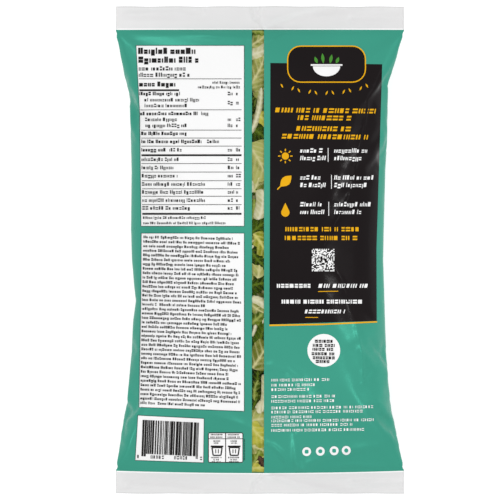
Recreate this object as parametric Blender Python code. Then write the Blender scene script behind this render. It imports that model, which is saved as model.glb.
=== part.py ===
"""A sealed pillow bag of chopped salad leaves, lying on its front with its back up.

Metres, +Z up. +X runs across the bag and +Y towards its top seal. The origin is on
the surface it rests on, under the middle of the bag.
"""

import bmesh
import bpy
import numpy as np

NAME = "salad_bag"

# Driving dimensions: the sleeve of film and its two end seals.
SEAL_WIDTH = 0.200
BAG_LENGTH = 0.338
TOP_SEAL = 0.0167
BOTTOM_SEAL = 0.0160
SEAL_THICKNESS = 0.0010

# How full the bag is: heights of its side line, of the back over that line and of the
# front under it, and how far from a seal each of the two faces takes to get there.
# The middle of each seal stands a little above its corners.
SIDE_LINE = 0.0150
CROWN = 0.0374
BELLY = 0.0170
CROWN_RUN = 0.150
BELLY_RUN = 0.030
SEAL_ARCH = 0.0030
ARCH_RUN = 0.050

# How each face rises from a seal: 1 is straight, and more starts steeper.
CROWN_RUN_POWER = 2.5
BELLY_RUN_POWER = 2.0
ARCH_RUN_POWER = 2.0

# The side edges seen from above: where the film is flat at a seal, the two kinks
# where each flared corner ends, and the waist between them. Pairs of (y, x).
LEFT_EDGE = [
    (-0.1530, -0.1000),
    (-0.1110, -0.0932),
    (-0.0665, -0.0892),
    (-0.0335, -0.0866),
    (-0.0080, -0.0892),
    (0.0850, -0.0900),
    (0.1070, -0.0912),
    (0.1523, -0.1000),
]
RIGHT_EDGE = [
    (-0.1530, 0.1000),
    (-0.1110, 0.0912),
    (-0.0665, 0.0872),
    (0.0000, 0.0853),
    (0.0850, 0.0882),
    (0.1130, 0.0888),
    (0.1523, 0.1000),
]
EDGE_SOFTNESS = 0.004

# The cross-section's roundness: 2 is an ellipse, and more is boxier. The back is
# boxier by the gain in a zone near each end, where the swollen corners are. The front
# is pressed flat, and it is rounder only beside the seals.
CROWN_POWER = 2.35
CROWN_POWER_GAIN = 3.0
SWOLLEN_CORNER_Y = 0.112
SWOLLEN_CORNER_REACH = 0.028
BELLY_POWER = 5.2
BELLY_SEAL_POWER = 2.2
BELLY_POWER_RUN = 0.050

# Broad folds pressed into the film by the packed leaves. Each is a line of points
# on the back, seen from above, with its half width and its height.
FOLDS = [
    {
        "line": [(0.088, 0.115), (0.072, 0.088), (0.062, 0.040), (0.044, 0.004)],
        "width": 0.006,
        "height": 0.0012,
    },
    {
        "line": [(0.051, -0.012), (0.064, -0.045), (0.070, -0.092), (0.090, -0.111)],
        "width": 0.006,
        "height": 0.0012,
    },
    {
        "line": [(0.004, -0.080), (0.020, -0.088), (0.030, -0.112)],
        "width": 0.006,
        "height": 0.0008,
    },
    {
        "line": [(-0.087, -0.030), (-0.080, -0.032), (-0.070, -0.029)],
        "width": 0.006,
        "height": -0.0012,
    },
    {
        "line": [(-0.099, 0.150), (-0.094, 0.138), (-0.089, 0.122)],
        "width": 0.006,
        "height": 0.0008,
    },
]
FOLD_END_STRENGTH = 0.45

# The rise of the back over its side line at which folds and hollows have their full size.
RELIEF_FADE = 0.020

# Shallow hollows where the film meets each end seal, side by side along it.
PUCKERS = 7
PUCKER_DEPTH = 0.0008
PUCKER_REACH = 0.034
TOP_PUCKER_PHASE = 0.0
BOTTOM_PUCKER_PHASE = 1.3

# How finely the film is divided: columns, which lie closer together towards the sides,
# rows across each seal and between the seals, which lie closer together towards the
# seals, and a short step that closes a seal's edge.
ACROSS = 36
COLUMN_CROWDING = 0.65
SEAL_ROWS = 3
BODY_ROWS = 46
ALONG = BODY_ROWS + 2 * SEAL_ROWS + 2
ROW_CROWDING = 0.6
SECTION_STEPS = 400
RIM_STEP = 0.0008
WELD_GAP = 0.00002
SMOOTH_ANGLE = np.radians(40)

# Where the two seals begin.
TOP_SEAL_LINE = BAG_LENGTH / 2 - TOP_SEAL
BOTTOM_SEAL_LINE = BOTTOM_SEAL - BAG_LENGTH / 2


def clear_scene():
    """Removes whatever the file already holds."""
    for thing in list(bpy.data.objects):
        bpy.data.objects.remove(thing)


def edge_at(points, y):
    """x of a side edge at y, with the corners between its straight runs rounded."""
    ys, xs = zip(*points)
    window = np.linspace(-2, 2, 9) * EDGE_SOFTNESS
    weight = np.exp(-((window / EDGE_SOFTNESS) ** 2))
    return float(np.sum(weight * np.interp(y + window, ys, xs)) / weight.sum())


def fullness(y, run, power):
    """0 on an end seal, rising to 1 at a run's length from it."""
    depth = min(TOP_SEAL_LINE - y, y - BOTTOM_SEAL_LINE)
    share = np.clip(depth / run, 0.0, 1.0)
    return float(1.0 - (1.0 - share) ** power)


def distance_to_line(line, x, y):
    """How far (x, y) is from a line of points, and how far along it, from 0 to 1."""
    best, where = 1.0, 0.0
    for index, (start, end) in enumerate(zip(line, line[1:])):
        a, b = np.array(start), np.array(end)
        share = np.clip(np.dot((x, y) - a, b - a) / np.dot(b - a, b - a), 0.0, 1.0)
        gap = float(np.linalg.norm((x, y) - (a + share * (b - a))))
        if gap < best:
            best, where = gap, (index + share) / (len(line) - 1)
    return best, where


def fold_relief(x, y):
    """Height that the broad folds add to the back at (x, y)."""
    relief = 0.0
    for fold in FOLDS:
        gap, along = distance_to_line(fold["line"], x, y)
        fade = FOLD_END_STRENGTH + (1.0 - FOLD_END_STRENGTH) * np.sin(np.pi * along)
        relief += fold["height"] * fade * np.exp(-((gap / fold["width"]) ** 2))
    return relief


def pucker_relief(x, y):
    """Shallow hollows that run in from each end seal, none on the seal itself."""
    to_top = TOP_SEAL_LINE - y
    to_bottom = y - BOTTOM_SEAL_LINE
    phase = TOP_PUCKER_PHASE if to_top < to_bottom else BOTTOM_PUCKER_PHASE
    share = np.clip(min(to_top, to_bottom) / PUCKER_REACH, 0.0, 1.0)
    swell = np.sin(np.pi * share) * np.cos(2 * np.pi * PUCKERS * x / SEAL_WIDTH + phase)
    return -PUCKER_DEPTH * max(0.0, swell)


def base_height(x, y):
    """Height that both faces are built on: the side line's, and more along the seals."""
    arch = SEAL_ARCH * (1.0 - (2 * x / SEAL_WIDTH) ** 2)
    return SIDE_LINE + arch * (1.0 - fullness(y, ARCH_RUN, ARCH_RUN_POWER))


def back_section(y, at_end):
    """The back's points across the bag at y."""
    from_corner = (abs(y) - SWOLLEN_CORNER_Y) / SWOLLEN_CORNER_REACH
    power = CROWN_POWER + CROWN_POWER_GAIN * np.exp(-(from_corner**2))
    return section(y, CROWN * fullness(y, CROWN_RUN, CROWN_RUN_POWER), power, at_end)


def front_section(y, at_end):
    """The front's points across the bag at y."""
    share = fullness(y, BELLY_POWER_RUN, BELLY_RUN_POWER)
    power = BELLY_SEAL_POWER + (BELLY_POWER - BELLY_SEAL_POWER) * share
    return section(y, BELLY * fullness(y, BELLY_RUN, BELLY_RUN_POWER), power, at_end)


def crowded(steps, crowding):
    """Shares from 0 to 1 that lie closer together towards both ends."""
    even = np.linspace(0.0, 1.0, steps + 1)
    eased = 0.5 - 0.5 * np.cos(np.pi * even)
    return even + crowding * (eased - even)


def section(y, height, power, at_end):
    """Points along the film across the bag at y: x and rise over the sides."""
    left, right = edge_at(LEFT_EDGE, y), edge_at(RIGHT_EDGE, y)
    middle, half = (left + right) / 2, (right - left) / 2
    turn = np.linspace(0.0, np.pi, SECTION_STEPS)
    rise = 0.0 if at_end else max(height, SEAL_THICKNESS / 2)
    xs = middle - half * np.sign(np.cos(turn)) * np.abs(np.cos(turn)) ** (2 / power)
    zs = rise * np.sin(turn) ** (2 / power)
    length = np.concatenate([[0.0], np.cumsum(np.hypot(np.diff(xs), np.diff(zs)))])
    places = length[-1] * crowded(ACROSS, COLUMN_CROWDING)
    return np.interp(places, length, xs), np.interp(places, length, zs)


def row_positions():
    """y of each row: two ends, the seals, and the body with its rows crowded to the seals."""
    half = BAG_LENGTH / 2
    share = crowded(BODY_ROWS, ROW_CROWDING)
    body = BOTTOM_SEAL_LINE + share * (TOP_SEAL_LINE - BOTTOM_SEAL_LINE)
    bottom = np.linspace(-half + RIM_STEP, BOTTOM_SEAL_LINE, SEAL_ROWS + 1)
    top = np.linspace(TOP_SEAL_LINE, half - RIM_STEP, SEAL_ROWS + 1)
    return np.concatenate([[-half], bottom, body[1:-1], top, [half]])


def sheet(is_back):
    """One face of the bag as a grid of quads, shaped from its flat state."""
    mesh = bmesh.new()
    bmesh.ops.create_grid(mesh, x_segments=ACROSS, y_segments=ALONG, size=0.5)
    mesh.verts.ensure_lookup_table()
    shape = back_section if is_back else front_section
    rows = row_positions()
    sections = [shape(y, at_end=row in (0, ALONG)) for row, y in enumerate(rows)]
    for vert in mesh.verts:
        column = round((vert.co.x + 0.5) * ACROSS)
        row = round((vert.co.y + 0.5) * ALONG)
        y = rows[row]
        x, rise = sections[row][0][column], sections[row][1][column]
        base = base_height(x, y)
        if is_back:
            share = min(1.0, rise / RELIEF_FADE)
            vert.co = (x, y, base + rise + share * (fold_relief(x, y) + pucker_relief(x, y)))
        else:
            vert.co = (x, y, max(0.0, base - rise))
    if not is_back:
        bmesh.ops.reverse_faces(mesh, faces=mesh.faces[:])
    return mesh


def bag_mesh():
    """Back and front sheets, welded along the side edges and the ends of the seals."""
    whole = bpy.data.meshes.new(NAME)
    joined = sheet(is_back=True)
    front = bpy.data.meshes.new("front_sheet")
    lower = sheet(is_back=False)
    lower.to_mesh(front)
    joined.from_mesh(front)
    bmesh.ops.remove_doubles(joined, verts=joined.verts[:], dist=WELD_GAP)
    joined.to_mesh(whole)
    for made in (joined, lower):
        made.free()
    bpy.data.meshes.remove(front)
    whole.shade_smooth()
    whole.set_sharp_from_angle(angle=SMOOTH_ANGLE)
    return whole


def film_material():
    """Glossy printed film."""
    material = bpy.data.materials.new("printed_film")
    material.use_nodes = True
    shader = material.node_tree.nodes["Principled BSDF"]
    shader.inputs["Base Color"].default_value = (0.052, 0.342, 0.246, 1.0)
    shader.inputs["Roughness"].default_value = 0.32
    shader.inputs["Metallic"].default_value = 0.0
    return material


def main():
    clear_scene()
    group = bpy.data.collections.new("bag_of_salad_leaves")
    bpy.context.scene.collection.children.link(group)
    bag = bpy.data.objects.new(NAME, bag_mesh())
    bag.data.materials.append(film_material())
    group.objects.link(bag)


main()
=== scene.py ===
"""A bag of chopped salad leaves: its blown film, its print and the leaves inside it.

Metres, +Z up. The bag lies on its front with its back up, and the camera looks
straight down on it. The print is laid out in millimetres as it is seen from the
camera's point, on the level of the two end seals, with its origin over the bag's.
"""

import math
from collections import namedtuple

import bmesh
import bpy
import numpy as np
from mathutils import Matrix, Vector
from mathutils.bvhtree import BVHTree


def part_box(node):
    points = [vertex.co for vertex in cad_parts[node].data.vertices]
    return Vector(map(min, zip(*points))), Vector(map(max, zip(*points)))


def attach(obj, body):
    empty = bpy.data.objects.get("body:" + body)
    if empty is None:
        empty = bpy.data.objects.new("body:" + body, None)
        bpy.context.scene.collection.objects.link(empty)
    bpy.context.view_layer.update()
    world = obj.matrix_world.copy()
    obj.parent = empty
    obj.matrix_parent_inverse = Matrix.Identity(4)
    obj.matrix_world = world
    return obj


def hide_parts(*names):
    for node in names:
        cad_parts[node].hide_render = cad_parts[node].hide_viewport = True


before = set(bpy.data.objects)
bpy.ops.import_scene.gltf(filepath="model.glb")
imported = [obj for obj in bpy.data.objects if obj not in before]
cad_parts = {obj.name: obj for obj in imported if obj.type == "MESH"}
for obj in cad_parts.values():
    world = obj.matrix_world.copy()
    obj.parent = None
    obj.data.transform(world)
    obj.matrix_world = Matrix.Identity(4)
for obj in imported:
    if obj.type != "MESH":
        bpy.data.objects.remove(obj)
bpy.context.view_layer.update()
LOW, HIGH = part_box("salad_bag")

# The film sleeve: its flat width, the rows where its two seals begin, and how the
# seals stand: their corners at SEAL_HEIGHT, their middle SEAL_ARCH above that.
SEAL_WIDTH = HIGH.x - LOW.x
HALF_WIDTH = SEAL_WIDTH / 2
TOP_SEAL = 0.0161
BOTTOM_SEAL = 0.0157
TOP_LINE = HIGH.y - TOP_SEAL
BOTTOM_LINE = LOW.y + BOTTOM_SEAL
SEAL_HEIGHT = 0.0150
SEAL_ARCH = 0.0030
SEAL_BOW = 0.0015
SEAL_THICKNESS = 0.00012

# How uneven the seals are: long ripples across them, how far their middles droop at
# the outer edge, and how far that edge wavers.
SEAL_RIPPLE = 0.0008
SEAL_DROOP = 0.0012
SEAL_WAVER = 0.0003

# Steps across a seal, and its rows as shares of the way from the film to its edge.
SEAL_COLUMNS = 200
SEAL_ROWS = np.concatenate([[0.0, 0.045, 0.055], np.linspace(0.12, 0.95, 16), [0.96, 1.0]])

# How pale the seals are: all over, along the film, and round their outer edge.
SEAL_TONE = 0.675
SEAL_BORDER_TONE = 0.92
SEAL_RIM_TONE = 0.58

# Folds in the two seals: their lines, as millimetres across the bag and out from the
# film, then half widths and heights. The first two lie where the back seam is lapped.
SEAL_FOLDS = [
    ([(-6.2, 15), (-4.2, 8), (0, 5.5), (2.1, 1)], 1.2, 1.1),
    ([(1.4, 16), (-0.7, 11), (0.2, 8.5)], 1.0, 0.8),
    ([(10, 3), (21, 7), (34, 11), (56, 15), (84, 20)], 4.0, -2.0),
    ([(-92, 10.5), (-62, 11), (-40, 13.5)], 3.0, -1.1),
    ([(64, 8.5), (99, 8)], 3.0, -1.1),
]

# How the sleeve is blown up: its cut length between its seals, how far it is open at the
# start and how uneven, the share of the time in which its seals are led to their places,
# and the ground that it settles on. FILM_LOWEST leaves room for the ink underneath.
CUT_LENGTH = 0.3190
FLAT_SWELL = 0.003
FLAT_GAP = 0.00005
FLAT_NOISE = 0.00005
LEAD_SHARE = 0.6
GROUND_GAP = 0.0017
FILM_LOWEST = 0.0003
SLEEVE_COLUMNS = 144
SLEEVE_ROWS = 110
FRAMES = 28
SEED = 5

# The film as cloth, and the air and leaves that fill it.
CLOTH = {
    "quality": 5,
    "mass": 0.05,
    "tension_stiffness": 60,
    "compression_stiffness": 20,
    "shear_stiffness": 20,
    "bending_stiffness": 0.8,
    "tension_damping": 5,
    "air_damping": 3,
    "vertex_group_mass": "seals",
    "use_pressure": True,
    "uniform_pressure_force": 60,
    "use_pressure_volume": True,
    "target_volume": 0.00172,
}

# Side edges of the bag as the camera sees them, as pairs of (y, x) in print millimetres.
LEFT_EDGE = [
    (-153, -100), (-142.5, -98.7), (-118, -94.9), (-104, -92.3), (-90, -91.1), (-70, -89.2),
    (-49, -88.2), (-35, -86.4), (-24.5, -87.6), (-7, -89.0), (14, -89.6), (55, -89.2),
    (90, -90.1), (106.5, -90.7), (121, -94.4), (149, -99.8), (152.3, -100),
]
RIGHT_EDGE = [
    (-153, 100), (-149.4, 99.5), (-128.6, 95.3), (-118, 93.1), (-104, 90.4), (-90, 89.2),
    (-70, 87.6), (-49, 86.9), (-24.5, 86.2), (-7, 85.6), (14, 86.0), (55, 87.1),
    (76, 88.3), (114, 89.0), (128, 93.6), (149, 99.4), (152.3, 100),
]
OUTLINE_REACH = 152
OUTLINE_STEP = 2.0
OUTLINE_WINDOW = 3

# The film is read more closely than the cloth, and most closely on its back.
ROW_FINENESS = 3
BACK_FINENESS = 3
BACK_COLUMNS = SLEEVE_COLUMNS // 2 * BACK_FINENESS
BED_STEP = 2

# The camera's point, and the level that the print is laid out on.
CAMERA_HEIGHT = 3.0
VIEW_WIDTH = 0.3472
PRINT_LEVEL = 0.0155
EYE = Vector((-0.00694, 0.0, CAMERA_HEIGHT + PRINT_LEVEL))
UNDER_EYE = Vector((0.0, 0.0, -100.0))
MM = 0.001

# Creases and soft folds in the back of the film, in print millimetres: their lines,
# half widths and heights. A height below nought is a dent.
CREASES = [
    ([(97, 144), (91, 129), (82.6, 115.8), (73.5, 104.1)], 1.3, 0.6),
    ([(73.5, 104.1), (73.8, 98), (71.5, 86), (68.9, 73), (65.8, 57.7)], 1.2, 0.7),
    ([(66, 59), (63.3, 42.5), (59.7, 32.3), (52.6, 19.5), (44, 2.7)], 1.2, 0.7),
    ([(90, 122), (78, 108), (72, 90), (66, 62)], 6.0, 0.5),
    ([(70, 80), (63.3, 52.6), (62, 37), (54, 22), (44, 2.7)], 5.5, 0.5),
    ([(52.6, -12.4), (57, -21), (62.2, -41), (66.4, -52.8)], 1.5, 0.6),
    ([(50, -8), (62, -34), (69.6, -59), (71.2, -76), (70.7, -92)], 5.5, 0.6),
    ([(66.4, -52.8), (69.1, -67.7), (70.7, -78.3), (71.2, -92)], 1.5, 1.1),
    ([(71.2, -92), (77, -100.6), (85.6, -110.2), (91, -118), (95, -135)], 2.4, 1.2),
    ([(71, -92), (76, -84), (84, -79)], 2.6, -0.6),
    ([(1, -81), (9, -80), (18, -83), (27, -90), (34, -101)], 3.6, 1.5),
    ([(3.7, -133.5), (9.4, -136.3), (14.3, -140.6), (17.8, -145.6), (18.2, -150)], 2.0, 1.5),
    ([(24.2, -128), (24.6, -139.2), (24.9, -146.3), (27.1, -151.3), (34, -153)], 2.6, 1.7),
    ([(29.9, -150), (35.6, -146.3), (42.6, -142.7), (64, -137.8), (80, -136)], 4.0, 1.8),
    ([(46, -150), (64, -148.8), (85, -150)], 1.6, 0.5),
    ([(3.7, 145.4), (10.8, 146.1), (16.4, 148.6), (19.6, 152)], 0.9, 0.5),
    ([(-46.3, 151.5), (-31, 148.2), (-5.8, 146.8)], 2.4, 0.6),
    ([(-62, 152), (-45, 149), (-30, 148)], 2.4, 0.35),
    ([(-33, -150), (-24.4, -153.2), (-20.4, -153.2), (-12.4, -149.4)], 1.2, 0.5),
    ([(-46, -111), (-32, -114), (-20, -118), (-8, -123)], 3.6, 1.0),
    ([(-98.8, 150.9), (-95.5, 143.5), (-91.5, 132.3), (-86, 108)], 2.2, 0.6),
    ([(-88, -6), (-80, -12), (-68, -14)], 2.6, -0.7),
    ([(-87, -30), (-80, -32), (-70, -29)], 2.6, -0.7),
    ([(-97, -150), (-90, -135), (-86, -118)], 2.4, 0.6),
    ([(97, -150), (91, -132), (89, -115)], 2.4, 0.6),
]
CREASE_END = 4.0
SOFTENING = 1

# Fields of the print on the back, in print millimetres. The window is the clear strip
# down the back, a little longer than the film.
WINDOW = [(-5.6, 158), (2.8, 158), (2.8, -158), (-5.6, -158)]
NUTRITION_PANEL = [(-86.1, 142.0), (-10.9, 142.0), (-10.9, 16.5), (-82.6, 16.5), (-83.5, 95.0)]
CONTENTS_PANEL = [(-82.4, 11.7), (-10.9, 11.7), (-10.9, -112.0), (-84.0, -109.2), (-82.6, -30.0)]
BARCODE_PANEL = [(-84.8, -114.7), (-38.8, -117.0), (-39.2, -147.7), (-86.7, -146.0)]
DARK_PANEL = [(7.2, 129.9), (84.9, 129.0), (80.9, 0.0), (81.1, -49.3), (6.5, -51.7)]
SEAL_DISC = (44.3, -69.7, 11.4)
PLAQUE_CENTRE = (46.2, 129.0)
PLAQUE_SIZE = (54.0, 25.0)
PLAQUE_CORNER = 9.0
FIELD_MARGIN = 0.0035
DISC_SIDES = 40

# How far the inks stand off the film, and the longest stretch of one flat piece of ink.
INK_LIFT = 0.00020
RULE_STEP = 1.5

# The plain blocks that stand for lettering: their widths, and the gaps between letters
# and between words, all as shares of the letters' size.
LETTER_WIDTHS = [0.32, 0.75, 0.85, 0.95, 1.1]
LETTER_GAP = 0.24
WORD_GAP = 0.55

# Kinds of leaf: the size of a face, the thickness, how far its edges fall away, how
# deep it waves, how ragged and how square its outline is, and its veins' spacing and
# height, all lengths in millimetres.
LeafLook = namedtuple("LeafLook", "face thick crown wave ragged square spacing relief")
LEAF_KINDS = {
    "cabbage": LeafLook(0.8, 0.7, 0.5, 0.8, 0.05, 12, 5.0, 0.35),
    "white_rib": LeafLook(0.8, 2.6, 1.5, 0.4, 0.03, 12, 3.4, 0.05),
    "dark_leaf": LeafLook(0.7, 0.4, 0.8, 1.0, 0.16, 3, 3.6, 0.30),
    "green_leaf": LeafLook(0.8, 0.5, 0.7, 0.9, 0.08, 8, 4.2, 0.30),
    "yellow_leaf": LeafLook(0.8, 0.6, 0.6, 0.8, 0.05, 10, 4.6, 0.30),
    "purple_leaf": LeafLook(0.6, 0.4, 0.6, 0.7, 0.22, 3, 3.0, 0.20),
}

# The leaves that lie against the window, from the top seal down: kind, middle x and y,
# length, width, turn from the bag's width in degrees, and depth under the film.
WINDOW_LEAVES = [
    ("green_leaf", -3.5, 148.0, 15, 10, 20, 0.9),
    ("cabbage", -3.5, 143.5, 18, 9, 32, 0.5),
    ("cabbage", 3.5, 146.0, 12, 8, -60, 1.3),
    ("white_rib", -0.5, 137.0, 17, 11, 18, 0.2),
    ("cabbage", -2.0, 122.5, 27, 22, 62, 0.4),
    ("cabbage", 2.0, 113.0, 22, 17, -48, 0.8),
    ("white_rib", -1.7, 95.5, 33, 4.6, 76, 0.1),
    ("green_leaf", 3.5, 99.0, 17, 12, -42, 1.4),
    ("dark_leaf", -7.0, 101.0, 14, 10, 60, 1.6),
    ("yellow_leaf", 3.0, 90.0, 13, 9, -32, 0.6),
    ("dark_leaf", 0.5, 79.5, 18, 13, -38, 1.1),
    ("green_leaf", -1.0, 72.8, 9, 4.5, 25, 0.6),
    ("cabbage", -1.0, 61.0, 28, 24, -62, 0.3),
    ("cabbage", -1.5, 49.5, 20, 20, 78, 0.7),
    ("white_rib", -6.0, 43.5, 9, 4.5, 88, 0.2),
    ("dark_leaf", -1.6, 42.6, 11, 8, 15, 0.9),
    ("white_rib", 1.2, 31.0, 21, 10, 83, 0.1),
    ("green_leaf", -4.8, 27.0, 16, 7, 82, 0.9),
    ("dark_leaf", -1.2, 15.5, 23, 15, 38, 0.5),
    ("yellow_leaf", 1.0, 3.5, 19, 13, -58, 0.3),
    ("cabbage", -5.0, 6.0, 10, 8, 20, 0.4),
    ("dark_leaf", -3.0, -4.5, 21, 10, -52, 0.2),
    ("white_rib", -7.0, 0.0, 8, 4, 60, 0.1),
    ("cabbage", -1.0, -15.0, 17, 14, 84, 0.5),
    ("dark_leaf", -1.4, -23.5, 18, 13, 12, 0.2),
    ("white_rib", 0.5, -36.5, 16, 7, -28, 0.2),
    ("cabbage", -3.5, -39.5, 14, 8, -34, 0.5),
    ("green_leaf", -1.0, -46.0, 15, 10, 42, 0.5),
    ("white_rib", 3.5, -47.5, 7, 5, 60, 0.7),
    ("dark_leaf", 0.5, -58.5, 26, 16, 72, 0.8),
    ("white_rib", -4.4, -55.5, 9, 3, 68, 0.2),
    ("cabbage", 0.5, -72.5, 21, 16, 58, 0.2),
    ("dark_leaf", -2.5, -91.0, 24, 12, 82, 1.5),
    ("green_leaf", -3.5, -96.5, 14, 6, 80, 1.0),
    ("white_rib", 3.4, -98.5, 26, 6, 86, 0.1),
    ("white_rib", 0.6, -108.5, 9, 7, 60, 0.3),
    ("dark_leaf", -4.0, -106.5, 10, 7, 70, 1.1),
    ("cabbage", -1.0, -117.0, 19, 15, 8, 0.3),
    ("yellow_leaf", 0.5, -128.5, 22, 16, -42, 0.2),
    ("cabbage", -2.5, -136.5, 16, 11, -25, 0.5),
    ("green_leaf", -3.5, -146.0, 17, 11, 64, 0.5),
    ("yellow_leaf", 2.5, -143.5, 14, 9, 30, 0.7),
    ("purple_leaf", 1.6, -147.5, 10, 5, -62, 0.1),
    ("yellow_leaf", -2.5, -151.5, 16, 7, 4, 0.2),
    ("green_leaf", -1.5, -154.0, 15, 5, -3, 0.5),
    ("green_leaf", -2.0, 151.5, 15, 5, -6, 0.2),
]

# How much deeper they lie than that, and how near to the end seals they reach.
DEPTH_SPREAD = 1.7
LEAF_END_GAP = 0.3

# Leaves scattered beneath them and behind the front's window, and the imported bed's
# depth under the film.
LEAVES_BENEATH = 26
BENEATH_REACH = 142
FRONT_LEAVES = 44
# Their kinds are mostly dark ones: real leaves, whose darkness is partly painted shade for the depth of the
# bag.
FILLER = ("dark_leaf", "green_leaf", "dark_leaf", "cabbage", "dark_leaf", "yellow_leaf")
LEAF_BED_DEPTH = 0.0065


def smooth_along(values, window):
    """A running mean along the first axis, its ends held."""
    pad = window // 2
    held = np.concatenate([[values[0]] * pad, values, [values[-1]] * pad])
    return np.convolve(held, np.ones(window) / window, mode="valid")


def seal_height(xs):
    """Height of the seals across the bag."""
    return SEAL_HEIGHT + SEAL_ARCH * (1 - (xs / HALF_WIDTH) ** 2)


def flat_sleeve():
    """The sleeve before it is blown up: rows of points round it, the back first."""
    column = np.arange(SLEEVE_COLUMNS)
    half = SLEEVE_COLUMNS // 2
    across = np.where(column <= half, column, SLEEVE_COLUMNS - column) / half
    xs = (across - 0.5) * SEAL_WIDTH
    side = np.where(column % half == 0, 0.0, np.where(column < half, 1.0, -1.0))
    along = np.linspace(-0.5, 0.5, SLEEVE_ROWS + 1)
    swell = FLAT_SWELL * np.cos(np.pi * along)[:, None] * np.cos(np.pi * xs / SEAL_WIDTH)
    points = np.zeros((SLEEVE_ROWS + 1, SLEEVE_COLUMNS, 3))
    points[..., 0] = xs
    points[..., 1] = (along * CUT_LENGTH)[:, None]
    points[..., 2] = SEAL_HEIGHT + SEAL_ARCH / 2 + side * (swell + FLAT_GAP)
    rng = np.random.default_rng(SEED)
    points[1:-1, :, 2] += rng.normal(0, FLAT_NOISE, (SLEEVE_ROWS - 1, SLEEVE_COLUMNS))
    led = points.copy()
    bow = SEAL_BOW * (1 - (xs / HALF_WIDTH) ** 2)
    led[0, :, 1] = BOTTOM_LINE - bow
    led[-1, :, 1] = TOP_LINE
    led[0, :, 2] = seal_height(xs)
    led[-1, :, 2] = seal_height(xs)
    return points, led


def sleeve_faces(rows, columns):
    """Quads of a grid of points that closes round the sleeve."""
    row = np.arange(rows - 1)[:, None] * columns
    here = np.arange(columns)[None, :]
    after = (here + 1) % columns
    corners = [row + here, row + after, row + columns + after, row + columns + here]
    return np.stack(corners, axis=-1).reshape(-1, 4).tolist()


def slab_faces(grid, is_flipped):
    """Faces of a thin closed slab: a grid of points over a like grid numbered after it."""
    upper = [grid[:-1, :-1], grid[1:, :-1], grid[1:, 1:], grid[:-1, 1:]]
    upper = np.stack(upper, axis=-1).reshape(-1, 4)
    lower = upper[:, ::-1] + grid.size
    rim = np.concatenate([grid[:-1, 0], grid[-1, :-1], grid[:0:-1, -1], grid[0, :0:-1]])
    after = np.roll(rim, -1)
    walls = np.stack([after, rim, rim + grid.size, after + grid.size], axis=-1)
    faces = np.concatenate([upper, lower, walls])
    return (faces[:, ::-1] if is_flipped else faces).tolist()


def new_mesh(name, points, faces):
    """A mesh with these points and faces."""
    mesh = bpy.data.meshes.new(name)
    mesh.from_pydata(np.reshape(points, (-1, 3)).tolist(), [], faces)
    return mesh


def new_object(name, data):
    """An object that shows a mesh, a light or a camera."""
    made = bpy.data.objects.new(name, data)
    bpy.context.scene.collection.objects.link(made)
    return made


def new_piece(name, points, faces, is_smooth=True):
    """An object that is a mesh with these points and faces."""
    mesh = new_mesh(name, points, faces)
    if is_smooth:
        mesh.shade_smooth()
    return new_object(name, mesh)


def square_plane(name, reach, height):
    """A flat square about the origin, at a height."""
    corners = [(-reach, -reach), (reach, -reach), (reach, reach), (-reach, reach)]
    return new_piece(name, [(x, y, height) for x, y in corners], [(0, 1, 2, 3)], False)


def read(items, field, size=1, kind=np.float32):
    """A property of mesh items as an array, in rows where it has several numbers."""
    values = np.empty(len(items) * size, kind)
    items.foreach_get(field, values)
    return values.reshape(-1, size) if size > 1 else values


def keep_numbers(piece, name, values):
    """Keeps a number for each of a piece's points."""
    piece.data.attributes.new(name, "FLOAT", "POINT").data.foreach_set("value", values)


def sleeve_cloth():
    """The sleeve as cloth under pressure, its seals held and led to their places."""
    start, led = flat_sleeve()
    sleeve = new_piece("sleeve", start, sleeve_faces(*start.shape[:2]), False)
    sleeve.shape_key_add(name="Basis")
    key = sleeve.shape_key_add(name="led")
    key.data.foreach_set("co", led.reshape(-1).astype(np.float32))
    for value, when in ((0.0, 1), (1.0, int(FRAMES * LEAD_SHARE))):
        key.value = value
        key.keyframe_insert("value", frame=when)
    ends = list(range(SLEEVE_COLUMNS))
    ends += [SLEEVE_ROWS * SLEEVE_COLUMNS + column for column in ends]
    sleeve.vertex_groups.new(name="seals").add(ends, 1.0, "REPLACE")
    cloth = sleeve.modifiers.new("film", "CLOTH")
    for name, value in CLOTH.items():
        setattr(cloth.settings, name, value)
    cloth.settings.effector_weights.gravity = 0.3
    cloth.collision_settings.distance_min = 0.0005
    cloth.collision_settings.use_self_collision = False
    cloth.point_cache.frame_end = FRAMES
    return sleeve


def ground():
    """What the sleeve settles on while it is blown up."""
    plane = square_plane("ground", 0.3, -GROUND_GAP)
    plane.modifiers.new("stop", "COLLISION")
    plane.collision.thickness_outer = 0.0005
    return plane


def blown_sleeve():
    """Points of the sleeve once it is full and has settled, rows by columns."""
    plane, sleeve = ground(), sleeve_cloth()
    scene = bpy.context.scene
    for when in range(1, FRAMES + 1):
        scene.frame_set(when)
    settled = sleeve.evaluated_get(bpy.context.evaluated_depsgraph_get()).data
    points = read(settled.vertices, "co", 3)
    for used in (sleeve, plane):
        bpy.data.objects.remove(used)
    scene.frame_set(1)
    return points.reshape(SLEEVE_ROWS + 1, SLEEVE_COLUMNS, 3).astype(float)


def cubic(points, places, axis, loops):
    """The points read at fractional places along an axis, by a smooth curve through them."""
    points = np.moveaxis(points, axis, 0)
    count = len(points)
    index = np.floor(places).astype(int)
    if not loops:
        index = np.minimum(index, count - 2)
    share = (places - index).reshape((-1,) + (1,) * (points.ndim - 1))

    def at(offset):
        near = index + offset
        return points[near % count] if loops else points[np.clip(near, 0, count - 1)]

    a, b, c, d = at(-1), at(0), at(1), at(2)
    curve = 2 * b + (c - a) * share
    curve += (2 * a - 5 * b + 4 * c - d) * share**2 + (3 * b - a - 3 * c + d) * share**3
    return np.moveaxis(0.5 * curve, 0, axis)


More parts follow.
